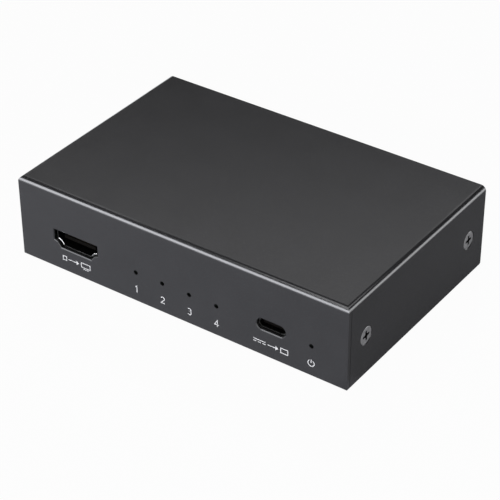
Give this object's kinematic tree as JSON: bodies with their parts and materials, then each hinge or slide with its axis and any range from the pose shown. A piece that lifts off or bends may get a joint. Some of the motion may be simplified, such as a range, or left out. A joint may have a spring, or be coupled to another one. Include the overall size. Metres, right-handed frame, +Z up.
{
  "type": "hdmi splitter",
  "caption": "Low dark grey sheet-metal box with a video input, lamps and a power socket along its front and video outputs in its rear wall.",
  "frame": {"origin": "on the ground under the middle of the box, at the undersides of its feet", "axes": "+X to the right along the front, +Y from the front to the rear wall, +Z up"},
  "size_m": [0.11, 0.07, 0.0275],
  "materials": {
    "cover_paint": "dark grey powder coat, fine texture, low sheen",
    "base_paint": "dark grey powder coat, fine texture, low sheen",
    "screw": "dull zinc plate",
    "foot_rubber": "matt black rubber",
    "socket_shell": "bright nickel plate",
    "socket_plastic": "satin black moulding",
    "contact_gold": "thin gold plate",
    "lamp": "clear moulding, unlit",
    "lamp_holder": "matt black moulding",
    "tinned_wire": "tinned",
    "board": "green solder mask over woven glass",
    "post_brass": "plain turned brass",
    "chip_black": "matt black moulding",
    "thermal_pad": "soft grey pad",
    "sink_black": "black anodised",
    "crystal_case": "plated lid on a ceramic case",
    "can_metal": "plain drawn can",
    "print_ink": "white screen print",
    "coil_ferrite": "dark grey ferrite"
  },
  "bodies": {
    "root": {"base": "base_paint", "board_posts": "post_brass", "board_screws": "screw", "capacitor_base": "socket_plastic", "capacitor_can": "can_metal", "clock_crystal": "crystal_case", "controller_chip": "chip_black", "cover": "cover_paint", "cover_screws": "screw", "feet": "foot_rubber", "heat_sink": "sink_black", "lamp_1": "lamp", "lamp_1_holder": "lamp_holder", "lamp_2": "lamp", "lamp_2_holder": "lamp_holder", "lamp_3": "lamp", "lamp_3_holder": "lamp_holder", "lamp_4": "lamp", "lamp_4_holder": "lamp_holder", "lamp_leads": "tinned_wire", "main_board": "board", "memory_chip": "chip_black", "power_coils": "coil_ferrite", "power_in_blade": "socket_plastic", "power_in_contacts": "contact_gold", "power_in_shell": "socket_shell", "power_lamp": "lamp", "power_lamp_holder": "lamp_holder", "regulators": "chip_black", "splitter_chip": "chip_black", "surge_guards": "chip_black", "thermal_pad": "thermal_pad", "video_in_blade": "socket_plastic", "video_in_contacts": "contact_gold", "video_in_shell": "socket_shell", "video_out_1_blade": "socket_plastic", "video_out_1_contacts": "contact_gold", "video_out_1_shell": "socket_shell", "video_out_2_blade": "socket_plastic", "video_out_2_contacts": "contact_gold", "video_out_2_shell": "socket_shell", "video_out_3_blade": "socket_plastic", "video_out_3_contacts": "contact_gold", "video_out_3_shell": "socket_shell", "video_out_4_blade": "socket_plastic", "video_out_4_contacts": "contact_gold", "video_out_4_shell": "socket_shell"}
  },
  "joints": []
}
